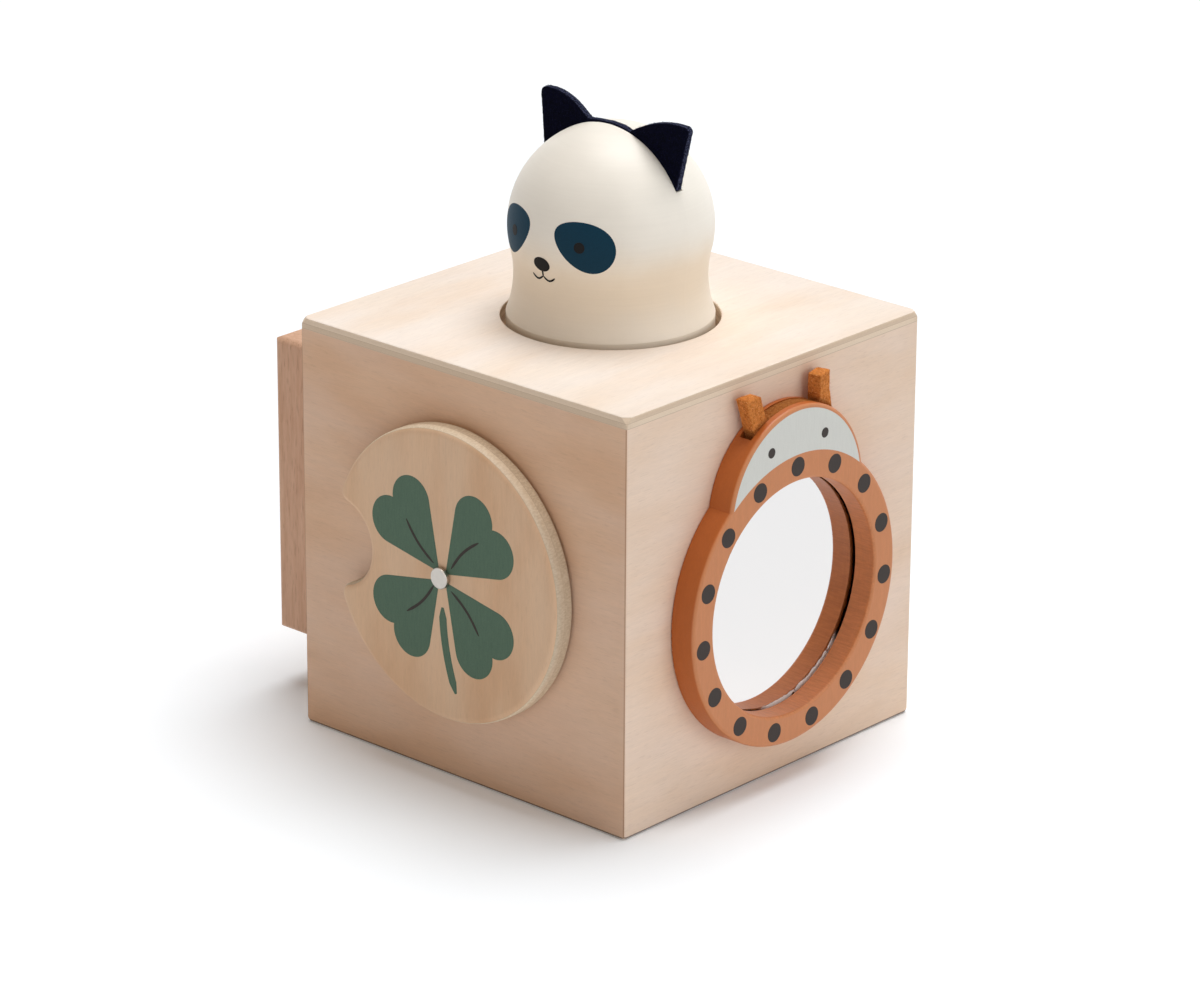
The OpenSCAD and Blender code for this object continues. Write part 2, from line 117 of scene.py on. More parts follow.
class Nodes:
    """Adds linked nodes to one node tree. Each short method returns an output socket."""

    def __init__(self, tree):
        self.tree = tree

    def add(self, kind, inputs, **settings):
        """A node with its settings and inputs, as the methods below use it."""
        node = self.tree.nodes.new(kind)
        for key, value in settings.items():
            setattr(node, key, value)
        for key, value in inputs.items():
            self.feed(node.inputs[key], value)
        return node

    def feed(self, socket, value):
        """Links an output to a socket, or sets the socket to a constant."""
        if isinstance(value, bpy.types.NodeSocket):
            self.tree.links.new(value, socket)
        else:
            socket.default_value = value

    def point(self):
        return self.add("ShaderNodeTexCoord", {}).outputs["Object"]

    def parts(self, vector):
        return self.add("ShaderNodeSeparateXYZ", {0: vector}).outputs

    def join(self, x, y, z):
        return self.add("ShaderNodeCombineXYZ", {0: x, 1: y, 2: z}).outputs[0]

    def math(self, operation, a, b=0.0, clamp=False):
        settings = {"operation": operation, "use_clamp": clamp}
        return self.add("ShaderNodeMath", {0: a, 1: b}, **settings).outputs[0]

    def vector(self, operation, a, b):
        return self.add("ShaderNodeVectorMath", {0: a, 1: b}, operation=operation).outputs[0]

    def length(self, vector):
        return self.add("ShaderNodeVectorMath", {0: vector}, operation="LENGTH").outputs["Value"]

    def step(self, value, low, high):
        """0 up to low, 1 from high, smooth between. Low may also be the greater of the two."""
        inputs = {0: value, 1: low, 2: high, 3: 0.0, 4: 1.0}
        return self.add("ShaderNodeMapRange", inputs, interpolation_type="SMOOTHSTEP").outputs[0]

    def span(self, value, low, high):
        """A value from 0 to 1 spread evenly from low to high."""
        return self.add("ShaderNodeMapRange", {0: value, 1: 0.0, 2: 1.0, 3: low, 4: high}).outputs[0]

    def mix(self, share, a, b, blend="MIX"):
        settings = {"data_type": "RGBA", "blend_type": blend}
        return self.add("ShaderNodeMix", {0: share, 6: a, 7: b}, **settings).outputs[2]

    def shade(self, colour, factor):
        """A colour times a factor."""
        grey = self.add("ShaderNodeCombineColor", {0: factor, 1: factor, 2: factor}).outputs[0]
        return self.mix(1.0, colour, grey, "MULTIPLY")

    def stain(self, colour, tint, where, strength):
        """A colour with a tint over it, at a strength where the share says 1."""
        return self.mix(self.math("MULTIPLY", where, strength), colour, tint)

    def noise(self, vector, rate, detail=2.0, roughness=0.5):
        """Noise from 0 to 1 at a rate per metre, which is one number or one for each axis."""
        if isinstance(rate, tuple):
            vector, rate = self.vector("MULTIPLY", vector, rate), 1.0
        inputs = {"Vector": vector, "Scale": rate, "Detail": detail, "Roughness": roughness}
        return self.add("ShaderNodeTexNoise", inputs).outputs[0]

    def bump(self, height, strength, distance):
        inputs = {"Height": height, "Strength": strength, "Distance": distance}
        return self.add("ShaderNodeBump", inputs).outputs["Normal"]


def new_material(name):
    """A material with its nodes helper and its shader."""
    material = bpy.data.materials.new(name)
    material.use_nodes = True
    return material, Nodes(material.node_tree), material.node_tree.nodes["Principled BSDF"]


def surface(n, shader, colour, roughness, normal, gloss=0.5):
    """Feeds a shader with a surface's colour, roughness and bump, and sets its specular level."""
    n.feed(shader.inputs["Base Color"], colour)
    n.feed(shader.inputs["Roughness"], roughness)
    n.feed(shader.inputs["Normal"], normal)
    shader.inputs["Specular IOR Level"].default_value = gloss


def dress(node, material):
    """Gives a CAD node one material."""
    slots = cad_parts[node].data.materials
    slots.clear()
    slots.append(material)


# In the blocks below, a STEP, SHADE or ROUGHNESS of two numbers is a range, a BUMP is a strength and a
# depth, a RATE is that of a noise per metre, and a GLOSS is a specular level.

# Wood figure, with rates along the grain first
CLOUD_RATE = (20, 52, 52)
STREAK_RATE = (70, 760, 760)
FIBRE_RATE = (300, 3200, 3200)
PORE_RATE = (240, 2300, 2300)
PORE_STEP = (0.62, 0.72)
SEED_MOVES = (1.0, 2.3, 5.1)

# Lacquered veneer
CLOUD_STEP = (0.34, 0.64)
WASH_RATE = (15, 44, 44)
WASH_SHIFT = (3.1, 1.7, 0.9)
WASH_STEP = (0.30, 0.72)
WASH_SHARE = 0.65
STREAK_SHADE = (0.935, 1.065)
FIBRE_SHADE = (0.94, 1.06)
PORE_TINT = srgb(150, 104, 72)
PORE_SHARE = 0.10
LACQUER_ROUGHNESS = (0.50, 0.62)
LACQUER_BUMP = (0.12, 0.15 * MM)

# Plywood of the box
VENEER_T = 0.26 * MM
VENEER_BLUR = 0.02 * MM
PLY_T = 1.8 * MM
GLUE_SHARE = 0.05
PLY_SPECK_RATE = 1400
PLY_LIGHT = (srgb(226, 203, 178), srgb(238, 218, 195))
PLY_DARK = (srgb(210, 186, 160), srgb(225, 202, 177))
PLY_GLUE = srgb(184, 154, 126)
PLY_ENDS_STEP = (0.45, 0.55)
PLY_GLOSS = 0.4
SEAM_W = 0.6 * MM
SEAM_TINT = srgb(150, 98, 64)
SEAM_SHARE = 0.6
# The line at a wall's foot is the mitre's joint, painted darker as the contact shadow on the floor
FOOT_LINE_W = 0.75 * MM
FOOT_JOINT_AND_SHADOW_TINT = srgb(74, 58, 48)
FOOT_JOINT_AND_SHADOW_SHARE = 0.85
LINE_BLUR = 0.1 * MM

# Plywood of the disc
DISC_VENEER_T = 0.9 * MM
DISC_PLY_T = 3.2 * MM
DISC_SPECK_RATE = (1700, 800, 1700)
DISC_SPECK_STEP = (0.22, 0.78)
DISC_LIGHT = (srgb(228, 207, 178), srgb(246, 229, 205))
DISC_DARK = (srgb(206, 182, 151), srgb(230, 210, 183))
DISC_GLUE = srgb(196, 174, 146)
DISC_SIDE_SHADE_STEP = (0.4, 1.0)
DISC_SIDE_SHADE = 0.80
DISC_ENDS_SHARE = 0.35
DISC_GLOSS = 0.3

# Beech
BEECH_TINTS = (srgb(204, 158, 128), srgb(230, 192, 164))
BEECH_CLOUD_SHARES = (-0.2, 0.6)
BEECH_STREAK_SHARES = (-0.5, 0.7)
BEECH_FIBRE_SHADE = (0.92, 1.06)
FLECK_RATE = (130, 1500, 1500)
FLECK_STEP = (0.60, 0.70)
FLECK_TINT = srgb(150, 104, 78)
FLECK_SHARE = 0.30
BEECH_PORE_TINT = srgb(136, 92, 66)
BEECH_PORE_SHARE = 0.18
BEECH_ROUGHNESS = (0.55, 0.7)
BEECH_BUMP = (0.15, 0.15 * MM)
BEECH_GLOSS = 0.35


def along_grain(n, point, axis, seed):
    """The point with its grain axis first, moved by seed so that no two pieces share a pattern."""
    x, y, z = n.parts(point)
    order = {"X": (x, y, z), "Y": (y, z, x), "Z": (z, x, y)}[axis]
    return n.vector("ADD", n.join(*order), [seed * move for move in SEED_MOVES])


def wood_figure(n, grain):
    """Shares from 0 to 1 of a pale close-grained wood: clouds, short streaks, fibres and pores."""
    cloud = n.noise(grain, CLOUD_RATE, detail=3)
    streak = n.noise(grain, STREAK_RATE, detail=4, roughness=0.6)
    fibre = n.noise(grain, FIBRE_RATE)
    pore = n.step(n.noise(grain, PORE_RATE, detail=1), *PORE_STEP)
    return cloud, streak, fibre, pore


def veneer(n, grain, tan, pale, wash):
    """Colour and height of a lacquered veneer: clouds of two tints under a thin patchy white wash."""
    cloud, streak, fibre, pore = wood_figure(n, grain)
    colour = n.mix(n.step(cloud, *CLOUD_STEP), tan, pale)
    patch = n.noise(n.vector("ADD", grain, WASH_SHIFT), WASH_RATE, detail=3)
    colour = n.stain(colour, wash, n.step(patch, *WASH_STEP), WASH_SHARE)
    colour = n.shade(colour, n.math("MULTIPLY", n.span(streak, *STREAK_SHADE), n.span(fibre, *FIBRE_SHADE)))
    colour = n.stain(colour, PORE_TINT, pore, PORE_SHARE)
    height = n.math("SUBTRACT", n.math("ADD", streak, fibre), pore)
    return colour, height


def lacquer(n, shader, colour, height, gloss):
    """Matt lacquer over a veneer's grain."""
    surface(n, shader, colour, n.span(height, *LACQUER_ROUGHNESS), n.bump(height, *LACQUER_BUMP), gloss)


def ply_layers(n, depth, veneer_t, ply_t, ends, face, light, dark, glue):
    """The face veneer above crossed plies, by depth below the face. Ends is 1 where the first ply
    shows its end grain, which is darker than its long grain."""
    plies = n.math("DIVIDE", n.math("SUBTRACT", depth, veneer_t), ply_t)
    share = n.math("FRACT", plies)
    nearest = n.math("MINIMUM", share, n.math("SUBTRACT", 1.0, share))
    crossed = n.math("GREATER_THAN", n.math("FRACT", n.math("MULTIPLY", plies, 0.5)), 0.5)
    core = n.mix(n.math("ABSOLUTE", n.math("SUBTRACT", crossed, ends)), light, dark)
    core = n.mix(n.math("SUBTRACT", 1.0, n.step(nearest, 0.0, GLUE_SHARE)), core, glue)
    return n.mix(n.step(depth, veneer_t - VENEER_BLUR, veneer_t + VENEER_BLUR), face, core)


def side_share(n, u, v):
    """Share from 0 to 1 by which a rim faces along u and not along v."""
    u_square = n.math("MULTIPLY", u, u)
    v_square = n.math("MULTIPLY", v, v)
    above_zero = 1e-9
    return n.math("DIVIDE", u_square, n.math("ADD", n.math("ADD", u_square, v_square), above_zero))


def plywood(name, face_axis, face_at, grain_axis, tints, seed, seam=False, foot=False):
    """Lacquered plywood whose outer face lies at face_at along face_axis, its sign telling the side.
    A seam is the thin brown line of the glued mitre at its upright edges, a foot the one at its base,
    painted darker as the contact shadow where the box meets the floor."""
    material, n, shader = new_material(name)
    point = n.point()
    place = n.parts(point)
    side = -1.0 if face_at <= 0 else 1.0
    depth = n.math("MULTIPLY", n.math("SUBTRACT", face_at, place["XYZ".index(face_axis)]), side)
    colour, height = veneer(n, along_grain(n, point, grain_axis, seed), *tints)
    speck = n.noise(point, PLY_SPECK_RATE)
    light = n.mix(speck, *PLY_LIGHT)
    dark = n.mix(speck, *PLY_DARK)
    u, v = [place[i] for i in range(3) if "XYZ"[i] != face_axis]
    ends = n.step(side_share(n, u, v), *PLY_ENDS_STEP)
    colour = ply_layers(n, depth, VENEER_T, PLY_T, ends, colour, light, dark, PLY_GLUE)
    if seam:
        line = n.step(n.math("ABSOLUTE", u), HALF - SEAM_W - LINE_BLUR, HALF - SEAM_W + LINE_BLUR)
        colour = n.stain(colour, SEAM_TINT, line, SEAM_SHARE)
    if foot:
        # Painted shadow: the mitre's joint at the foot, darker as the contact shadow on the floor.
        line = n.step(place[2], FOOT_LINE_W + LINE_BLUR, FOOT_LINE_W - LINE_BLUR)
        colour = n.stain(colour, FOOT_JOINT_AND_SHADOW_TINT, line, FOOT_JOINT_AND_SHADOW_SHARE)
    lacquer(n, shader, colour, height, PLY_GLOSS)
    return material


def disc_plywood(name, tints, seed):
    """The spinner's plywood: a thick face veneer over two broad plies without dark lines, darker where
    the rim shows end grain, with painted shade on the rim where it faces along X."""
    material, n, shader = new_material(name)
    point = n.point()
    x, y, z = n.parts(n.vector("SUBTRACT", point, DISC_AXIS))
    depth = n.math("SUBTRACT", y, DISC_FRONT - DISC_AXIS.y)
    colour, height = veneer(n, along_grain(n, point, "Z", seed), *tints)
    speck = n.step(n.noise(point, DISC_SPECK_RATE, detail=3), *DISC_SPECK_STEP)
    sideways = side_share(n, x, z)
    # Painted shade: the rim is darker where it faces along X.
    side_shade = n.span(n.step(sideways, *DISC_SIDE_SHADE_STEP), 1.0, DISC_SIDE_SHADE)
    light = n.shade(n.mix(speck, *DISC_LIGHT), side_shade)
    dark = n.shade(n.mix(speck, *DISC_DARK), side_shade)
    ends = n.span(sideways, 0.0, DISC_ENDS_SHARE)
    colour = ply_layers(n, depth, DISC_VENEER_T, DISC_PLY_T, ends, colour, light, dark, DISC_GLUE)
    lacquer(n, shader, colour, height, DISC_GLOSS)
    return material


def beech(name, grain_axis, seed):
    """Sanded beech: pinkish, with short dark flecks along the grain."""
    material, n, shader = new_material(name)
    grain = along_grain(n, n.point(), grain_axis, seed)
    cloud, streak, fibre, pore = wood_figure(n, grain)
    clouded = n.span(cloud, *BEECH_CLOUD_SHARES)
    share = n.math("ADD", clouded, n.span(streak, *BEECH_STREAK_SHARES), clamp=True)
    fleck = n.step(n.noise(grain, FLECK_RATE, detail=1), *FLECK_STEP)
    colour = n.stain(n.mix(share, *BEECH_TINTS), FLECK_TINT, fleck, FLECK_SHARE)
    colour = n.stain(colour, BEECH_PORE_TINT, pore, BEECH_PORE_SHARE)
    colour = n.shade(colour, n.span(fibre, *BEECH_FIBRE_SHADE))
    height = n.math("SUBTRACT", n.math("ADD", streak, fibre), fleck)
    normal = n.bump(height, *BEECH_BUMP)
    surface(n, shader, colour, n.span(cloud, *BEECH_ROUGHNESS), normal, BEECH_GLOSS)
    return material


# Paint on the mirror frame: depths below its face, and distances outside its opening, where the painted
# shade of its edges begins
FACE_SHADE_FROM, FACE_SHADE_TO = 1.1 * MM, 0.3 * MM
INNER_SHADE_FROM, INNER_SHADE_TO = 1.2 * MM, 0.2 * MM
INNER_UNSHADED_SHARE = 0.5
CUTTER_RATE = (160, 1500, 1500)
CUTTER_SHARE = 0.7
PEEL_RATE = 900
PEEL_HEIGHT = 1.6
PEEL_SHADE = (0.97, 1.03)
FRAME_FIBRE_SHADE = (0.93, 1.07)
FRAME_STREAK_SHADE = (0.92, 1.08)
FRAME_ROUGHNESS = (0.37, 0.47)
FRAME_BUMP = (0.12, 0.2 * MM)
FRAME_GLOSS = 0.35

# Paint on the head: heights above the box's top where its painted shade and warm bounce begin in the neck's
# hollow, and where they lessen at the foot
HOLLOW_FROM, HOLLOW_TO = 38 * MM, 20 * MM
HOLLOW_SHARE = 0.9
FOOT_FROM, FOOT_TO = 18 * MM, 2 * MM
FOOT_SHARE = 0.4
BRUSH_RATE = 70
BRUSH_WANDER = 4 * MM
BRUSH_SHADE = (0.96, 1.04)
TURNING_RATE = (30, 30, 1500)
TURNING_SHADE = (0.975, 1.025)
HEAD_PEEL_RATE = 1100
HEAD_ROUGHNESS = (0.38, 0.5)
HEAD_BUMP = (0.08, 0.15 * MM)
HEAD_GLOSS = 0.45

# Screen-printed ink
INK_FIBRE_RATE = (260, 2600, 2600)
INK_MESH_RATE = 2400
INK_ROUGHNESS = (0.5, 0.62)
INK_BUMP = (0.1, 0.1 * MM)
INK_GLOSS = 0.15


def frame_paint(name, face, edge, seed):
    """Satin paint on the mirror frame: a fine orange peel over faint grain, and painted shade on the edges
    in a darker, deeper colour, half as strong inside the ring, where the cutter left its marks."""
    material, n, shader = new_material(name)
    point = n.point()
    x, y, z = n.parts(n.vector("SUBTRACT", point, RING_CENTRE))
    cloud, streak, fibre, _ = wood_figure(n, along_grain(n, point, "Z", seed))
    peel = n.noise(point, PEEL_RATE)
    front = FRAME_FRONT - RING_CENTRE.x
    # Painted shade: the edges take the darker colour, the inside of the ring half of it.
    unshaded = n.step(x, front - FACE_SHADE_FROM, front - FACE_SHADE_TO)
    inside = n.step(n.length(n.join(0.0, y, z)), OPENING_R + INNER_SHADE_FROM, OPENING_R + INNER_SHADE_TO)
    unshaded = n.math("MAXIMUM", unshaded, n.math("MULTIPLY", inside, INNER_UNSHADED_SHARE))
    marks = n.noise(point, CUTTER_RATE, detail=4, roughness=0.65)
    marks = n.math("MULTIPLY", n.math("SUBTRACT", marks, 0.5), inside)
    shade = n.math("MULTIPLY", n.span(fibre, *FRAME_FIBRE_SHADE), n.span(streak, *FRAME_STREAK_SHADE))
    shade = n.math("MULTIPLY", shade, n.span(peel, *PEEL_SHADE))
    shade = n.math("MULTIPLY", shade, n.math("ADD", 1.0, n.math("MULTIPLY", marks, CUTTER_SHARE)))
    colour = n.shade(n.mix(unshaded, edge, face), shade)
    height = n.math("ADD", n.math("MULTIPLY", peel, PEEL_HEIGHT), n.math("ADD", streak, fibre))
    normal = n.bump(height, *FRAME_BUMP)
    surface(n, shader, colour, n.span(cloud, *FRAME_ROUGHNESS), normal, FRAME_GLOSS)
    return material


def turned_paint(name, colour, warm):
    """Cream paint on a turned head: faint rings round the axis, soft brush clouds, and painted shade and
    warm bounce light that make it darker and warmer in the hollow of the neck."""
    material, n, shader = new_material(name)
    point = n.point()
    rings = n.noise(point, TURNING_RATE, detail=3)
    cloud = n.noise(point, BRUSH_RATE, detail=3)
    peel = n.noise(point, HEAD_PEEL_RATE)
    height = n.math("ADD", n.parts(point)[2], n.span(cloud, -BRUSH_WANDER, BRUSH_WANDER))
    # Painted shade and warm bounce light: darker and warmer in the neck's hollow, less so at the foot.
    hollow = n.step(height, BOX_TOP + HOLLOW_FROM, BOX_TOP + HOLLOW_TO)
    foot = n.step(height, BOX_TOP + FOOT_FROM, BOX_TOP + FOOT_TO)
    neck_shade = n.math("MULTIPLY", hollow, n.span(foot, HOLLOW_SHARE, FOOT_SHARE))
    shade = n.math("MULTIPLY", n.span(rings, *TURNING_SHADE), n.span(cloud, *BRUSH_SHADE))
    coat = n.shade(n.mix(neck_shade, colour, warm), shade)
    normal = n.bump(n.math("ADD", rings, peel), *HEAD_BUMP)
    surface(n, shader, coat, n.span(cloud, *HEAD_ROUGHNESS), normal, HEAD_GLOSS)
    return material


def ink(name, colour, grain_axis, seed, shows=0.14):
    """Screen-printed ink that lets the grain below show a little."""
    material, n, shader = new_material(name)
    point = n.point()
    fibre = n.noise(along_grain(n, point, grain_axis, seed), INK_FIBRE_RATE)
    mesh = n.noise(point, INK_MESH_RATE)
    shade = n.math("MULTIPLY", n.span(fibre, 1 - shows, 1 + shows), n.span(mesh, 1 - shows, 1 + shows))
    normal = n.bump(n.math("ADD", fibre, mesh), *INK_BUMP)
    surface(n, shader, n.shade(colour, shade), n.span(mesh, *INK_ROUGHNESS), normal, INK_GLOSS)
    return material


# Felt
FELT_MAT_RATE = 900
FELT_MAT_STEP = (0.36, 0.6)
FELT_SPECK_RATE = 2600
FELT_SPECK_STEP = (0.56, 0.72)
FELT_ROUGHNESS = 0.95
FELT_BUMP = (0.5, 0.3 * MM)
FELT_GLOSS = 0.06
FELT_SHEEN_ROUGHNESS = 0.5
# Painted shade of the felt down in the groove
GROOVE_SHADE = 0.5
GROOVE_SHADE_W = 2.5 * MM
CUT_EDGE_FROM, CUT_EDGE_TO = 0.2 * MM, 0.6 * MM
CUT_SPECK_STEP = (0.42, 0.64)

# Metal, with how much smoother and rougher than its mean its lines are
METAL_LINE_RATES = {"Y": (900, 60, 900), "Z": (900, 900, 60)}
METAL_SMOOTHER, METAL_ROUGHER = 0.1, 0.12
METAL_TONE_RATE = 500
METAL_TONE_SHADE = (0.88, 1.08)
METAL_BUMP = (0.1, 0.05 * MM)

# Nylon
NYLON_RATE = 400
NYLON_SHADE = (0.93, 1.03)
NYLON_ROUGHNESS = (0.4, 0.55)
NYLON_BUMP = (0.08, 0.1 * MM)


def felt(name, dark, mid, light, sheen, seed, groove=None, cut=None):
    """Pressed felt: matted fibres of three tints, matt, with a soft sheen. A groove is the centre and
    radius of a round edge below which the felt is darker with painted shade. A cut is half the thickness
    along Y and the paler tint of the cut edges."""
    material, n, shader = new_material(name)
    place = n.point()
    point = n.vector("ADD", place, (seed, seed, seed))
    mat = n.noise(point, FELT_MAT_RATE, detail=4, roughness=0.65)
    speck = n.noise(point, FELT_SPECK_RATE)
    colour = n.mix(n.step(mat, *FELT_MAT_STEP), dark, mid)
    colour = n.mix(n.step(speck, *FELT_SPECK_STEP), colour, light)
    if groove:
        centre, radius = groove
        _, y, z = n.parts(n.vector("SUBTRACT", place, centre))
        # Painted shade: darker down in the groove, lighter from its edge outwards.
        free = n.step(n.length(n.join(0.0, y, z)), radius, radius + GROOVE_SHADE_W)
        colour = n.shade(colour, n.span(free, GROOVE_SHADE, 1.0))
    if cut:
        half, pale = cut
        edge = n.step(n.math("ABSOLUTE", n.parts(place)[1]), half - CUT_EDGE_FROM, half - CUT_EDGE_TO)
        colour = n.mix(n.math("MULTIPLY", edge, n.step(speck, *CUT_SPECK_STEP)), colour, pale)
    normal = n.bump(n.math("ADD", mat, speck), *FELT_BUMP)
    surface(n, shader, colour, FELT_ROUGHNESS, normal, FELT_GLOSS)
    shader.inputs["Sheen Weight"].default_value = sheen
    shader.inputs["Sheen Roughness"].default_value = FELT_SHEEN_ROUGHNESS
    shader.inputs["Sheen Tint"].default_value = light
    return material


def metal(name, colour, axis, roughness):
    """Plain metal with fine turned lines round an axis."""
    material, n, shader = new_material(name)
    point = n.point()
    lines = n.noise(point, METAL_LINE_RATES[axis], detail=3)
    tone = n.noise(point, METAL_TONE_RATE, detail=3)
    colour = n.shade(colour, n.span(tone, *METAL_TONE_SHADE))
    rough = n.span(lines, roughness - METAL_SMOOTHER, roughness + METAL_ROUGHER)
    surface(n, shader, colour, rough, n.bump(lines, *METAL_BUMP))
    shader.inputs["Metallic"].default_value = 1.0
    return material


def plastic(name, colour):
    """Natural nylon with a faint moulded mottle."""
    material, n, shader = new_material(name)
    cloud = n.noise(n.point(), NYLON_RATE, detail=3)
    colour = n.shade(colour, n.span(cloud, *NYLON_SHADE))
    surface(n, shader, colour, n.span(cloud, *NYLON_ROUGHNESS), n.bump(cloud, *NYLON_BUMP))
    return material


# Mirror: radii where its painted shade under the ring and its painted glint line begin, and where round the
# ring that glint is
SLOT_SHADE_FROM, SLOT_SHADE_TO = OPENING_R - 0.1 * MM, OPENING_R + 0.3 * MM
GLINT_FROM, GLINT_TO = OPENING_R - 0.9 * MM, OPENING_R - 0.5 * MM
GLINT_TURN = math.radians(-68)
GLINT_TURN_STEP = (0.84, 0.92)
GLINT_CHIP_STEP = (0.30, 0.40)
CHIP_REACH = 0.9 * MM
CHIP_RATE = 300
SMEAR_RATE = (40, 90, 25)
SMEAR_ROUGHNESS = (0.01, 0.04)
EDGE_ROUGHNESS = 0.3
SILVER = srgb(231, 228, 226)
SLOT_SHADE_TINT = srgb(58, 36, 25)
PAINTED_GLINT_TINT = srgb(252, 250, 248)


def mirror_glass(name):
    """Acrylic mirror with faint smears, with painted shade, dark and uneven, where its edge goes under the
    ring, and a painted glint, a pale line, at the foot."""
    material, n, shader = new_material(name)
    point = n.vector("SUBTRACT", n.point(), RING_CENTRE)
    _, y, z = n.parts(point)
    radius = n.length(n.join(0.0, y, z))
    chip = n.noise(point, CHIP_RATE, detail=3)
    smear = n.noise(point, SMEAR_RATE, detail=3)
    edge = n.math("ADD", radius, n.span(chip, -CHIP_REACH, CHIP_REACH))
    # Painted shade: dark where the mirror goes under the ring.
    slot_shade = n.step(edge, SLOT_SHADE_FROM, SLOT_SHADE_TO)
    across = n.math("MULTIPLY", n.math("DIVIDE", y, radius), math.cos(GLINT_TURN))
    up = n.math("MULTIPLY", n.math("DIVIDE", z, radius), math.sin(GLINT_TURN))
    towards = n.math("ADD", across, up)
    # Painted glint: a pale line low down at the ring's foot.
    pale = n.math("MULTIPLY", n.step(towards, *GLINT_TURN_STEP), n.step(chip, *GLINT_CHIP_STEP))
    pale = n.math("MULTIPLY", pale, n.step(edge, GLINT_FROM, GLINT_TO))
    rough = n.math("MULTIPLY", n.math("MAXIMUM", slot_shade, pale), EDGE_ROUGHNESS)
    n.feed(shader.inputs["Base Color"], n.mix(pale, n.mix(slot_shade, SILVER, SLOT_SHADE_TINT), PAINTED_GLINT_TINT))
    n.feed(shader.inputs["Roughness"], n.math("ADD", n.span(smear, *SMEAR_ROUGHNESS), rough))
    n.feed(shader.inputs["Metallic"], n.math("SUBTRACT", 1.0, pale))
    return material


# Meshes and printed films. A ribbon starts at a share of its width and widens at the rate of its taper.
WELD = 0.002 * MM
FILM_T = 0.06 * MM
FILM_SEAT = 0.25
RIBBON_TIP = 0.3
RIBBON_TAPER = 6


def even_shares(steps):
    """Shares from 0 to 1 in even steps."""
    return [i / steps for i in range(steps + 1)]


def even_turns(count):
    """Angles in even steps once round a circle."""
    return [math.tau * i / count for i in range(count)]


def on_circle(centre, radius, turn):
    """The (u, v) point of a circle at an angle."""
    return (centre[0] + radius * math.cos(turn), centre[1] + radius * math.sin(turn))


def turned(point, angle):
    """A (u, v) point turned about the origin."""
    cosine, sine = math.cos(angle), math.sin(angle)
    return (point[0] * cosine - point[1] * sine, point[0] * sine + point[1] * cosine)


def join_rings(shape, rings, closed=True):
    """Faces between one row of points and the next."""
    for low, high in zip(rings, rings[1:]):
        count = len(low) if closed else len(low) - 1
        for i in range(count):
            j = (i + 1) % len(low)
            shape.faces.new((low[i], low[j], high[j], high[i]))


def new_mesh(name, shape):
    """The mesh of a shape, welded where its points meet, with its faces turned outwards."""
    bmesh.ops.remove_doubles(shape, verts=shape.verts, dist=WELD)
    bmesh.ops.recalc_face_normals(shape, faces=shape.faces)
    mesh = bpy.data.meshes.new(name)
    shape.to_mesh(mesh)
    shape.free()
    return mesh


def new_piece(name, mesh, material, body):
    """A mesh object of its own that rides on a body."""
    mesh.materials.clear()
    mesh.materials.append(material)
    piece = bpy.data.objects.new(name, mesh)
    bpy.context.scene.collection.objects.link(piece)
    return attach(piece, body)


def blob(centre, outline, rings=1):
    """Grid that fills a closed outline from its centre."""
    rows = []
    for share in even_shares(rings):
        rows.append([(centre[0] + share * (u - centre[0]), centre[1] + share * (v - centre[1]))
                     for u, v in outline])
    return rows, True


def disc_patch(centre, radius, rings=1, points=36):
    """Grid that fills a circle."""
    return blob(centre, [on_circle(centre, radius, turn) for turn in even_turns(points)], rings)


def ribbon(line, width):
    """Strip of even width with tapered ends along a line of points."""
    left, right = [], []
    shares = even_shares(len(line) - 1)
    for i, (u, v) in enumerate(line):
        before = line[max(i - 1, 0)]
        after = line[min(i + 1, len(line) - 1)]
        heading = Vector((after[0] - before[0], after[1] - before[1])).normalized()
        from_end = min(shares[i], 1 - shares[i])
        reach = width / 2 * min(1.0, RIBBON_TAPER * from_end + RIBBON_TIP)
        left.append((u - heading.y * reach, v + heading.x * reach))
        right.append((u + heading.y * reach, v - heading.x * reach))
    return [left, right], False


def film(name, patches, place, material, body):
    """A thin printed layer of grids of (u, v) points, put on a surface by place."""
    shape = bmesh.new()
    for rows, closed in patches:
        join_rings(shape, [[shape.verts.new(place(u, v)) for u, v in row] for row in rows], closed)
    piece = new_piece(name, new_mesh(name, shape), material, body)
    thick = piece.modifiers.new("thickness", "SOLIDIFY")
    thick.thickness = FILM_T
    thick.offset = 0.0


def film_rise(layer):
    """Height above a surface of the middle of a printed layer, the first of which is a little sunk."""
    return FILM_T * (layer + FILM_SEAT)


# Printed clover on the disc
LEAF_COUNT = 4
LEAF_FROM = math.radians(45)
LEAF_REACH = 36 * MM
LEAF_NECK = 2.0 * MM
LEAF_LOBE = 8.6 * MM
LEAF_LOBE_OUT = 0.8 * LEAF_LOBE
LEAF_MIDDLE = 0.6 * LEAF_REACH
LEAF_POINTS = 24
RIB_W = 1.0 * MM
RIB_FROM = 0.16 * LEAF_REACH
RIB_LONG = 0.5 * LEAF_REACH
RIB_BOW = 1.2 * MM
RIB_STEPS = 12
STEM_W = 3.4 * MM
STEM_FROM = 11 * MM
STEM_LONG = 30 * MM
STEM_SWEEP = 6 * MM
STEM_STEPS = 16


def on_disc(layer):
    """Puts (u, v) points on the disc's face."""
    def place(u, v):
        return (DISC_AXIS.x + u, DISC_FRONT - film_rise(layer), DISC_AXIS.z + v)
    return place


